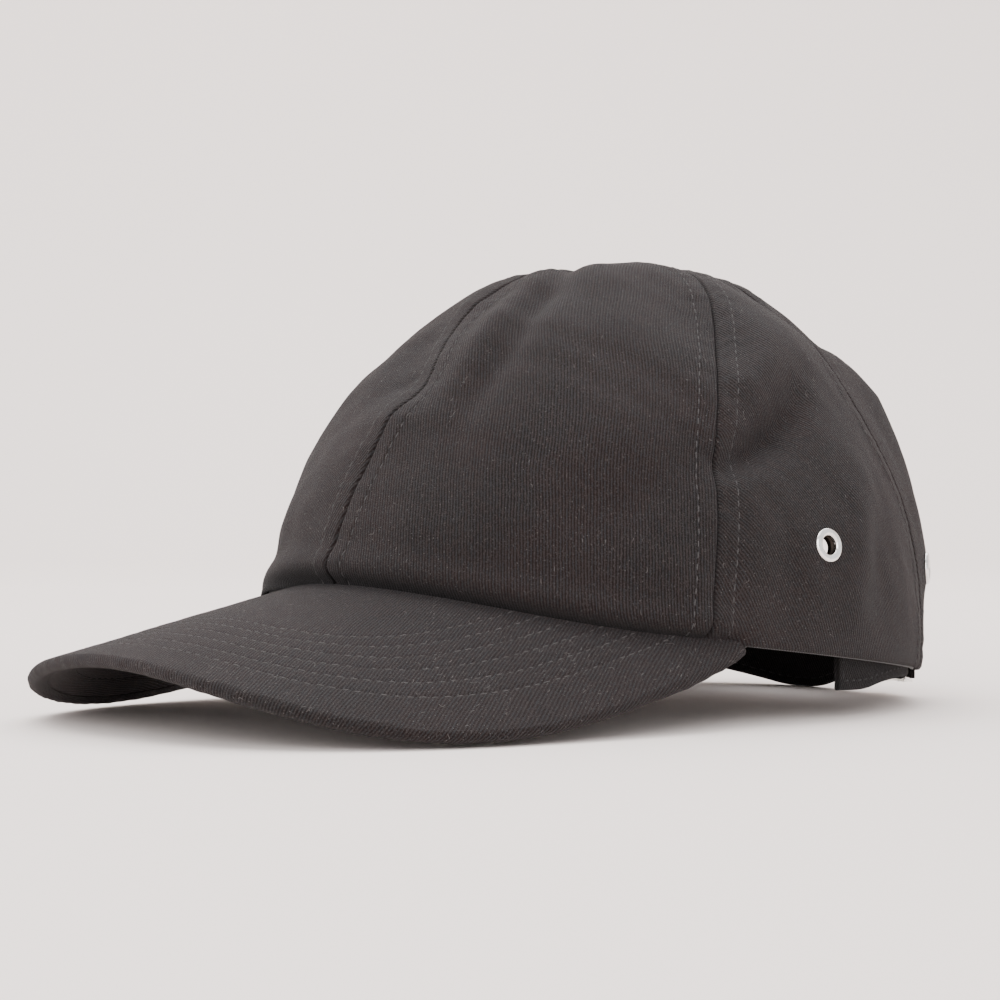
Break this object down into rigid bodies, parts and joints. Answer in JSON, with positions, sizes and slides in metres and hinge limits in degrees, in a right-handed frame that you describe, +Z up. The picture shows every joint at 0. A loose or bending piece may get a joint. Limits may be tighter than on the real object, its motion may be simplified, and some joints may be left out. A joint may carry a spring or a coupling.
{
  "type": "baseball cap",
  "caption": "Soft six-panel cap with a pre-curved visor, metal eyelets and a cloth strap that closes in a hinged metal clasp.",
  "frame": {"origin": "centre of the cap's outline on the table it lies on", "axes": "+Z up, -Y towards the front of the visor, +X the wearer's left"},
  "size_m": [0.172, 0.2599, 0.124],
  "materials": {
    "twill": "matte black cotton twill",
    "tape": "matte plain weave",
    "label_cloth": "woven, blank",
    "board": "matte",
    "nickel": "polished nickel plate"
  },
  "bodies": {
    "cap": {"front_panel_left": "twill", "front_panel_right": "twill", "side_panel_left": "twill", "side_panel_right": "twill", "rear_panel_left": "twill", "rear_panel_right": "twill", "seam_tape_front": "tape", "seam_tape_left_front": "tape", "seam_tape_right_front": "tape", "seam_tape_left_rear": "tape", "seam_tape_right_rear": "tape", "seam_tape_rear": "tape", "sweatband": "tape", "opening_binding": "tape", "size_label": "label_cloth", "visor_top_cover": "twill", "visor_board": "board", "visor_under_cover": "twill", "button_cover": "twill", "button_rivet": "nickel", "eyelet_side_left": "nickel", "eyelet_side_right": "nickel", "eyelet_rear_left": "nickel", "eyelet_rear_right": "nickel", "eyelet_washer_side_left": "nickel", "eyelet_washer_side_right": "nickel", "eyelet_washer_rear_left": "nickel", "eyelet_washer_rear_right": "nickel", "strap": "twill", "strap_anchor": "twill", "clasp_frame": "nickel", "clasp_pin": "nickel"},
    "clasp_lever": {"clasp_lever": "nickel"},
    "strap_tail": {"strap_tail": "twill"}
  },
  "joints": [
    {"name": "clasp_hinge", "type": "hinge", "parent": "cap", "child": "clasp_lever", "pos_m": [0.03664, 0.11956, 0.0155], "axis": [0, 0, -1], "range_deg": [0, 110]},
    {"name": "strap_tail_swing", "type": "hinge", "parent": "cap", "child": "strap_tail", "pos_m": [0.0412, 0.11298, 0.0155], "axis": [0, 0, -1], "range_deg": [0, 40]}
  ]
}
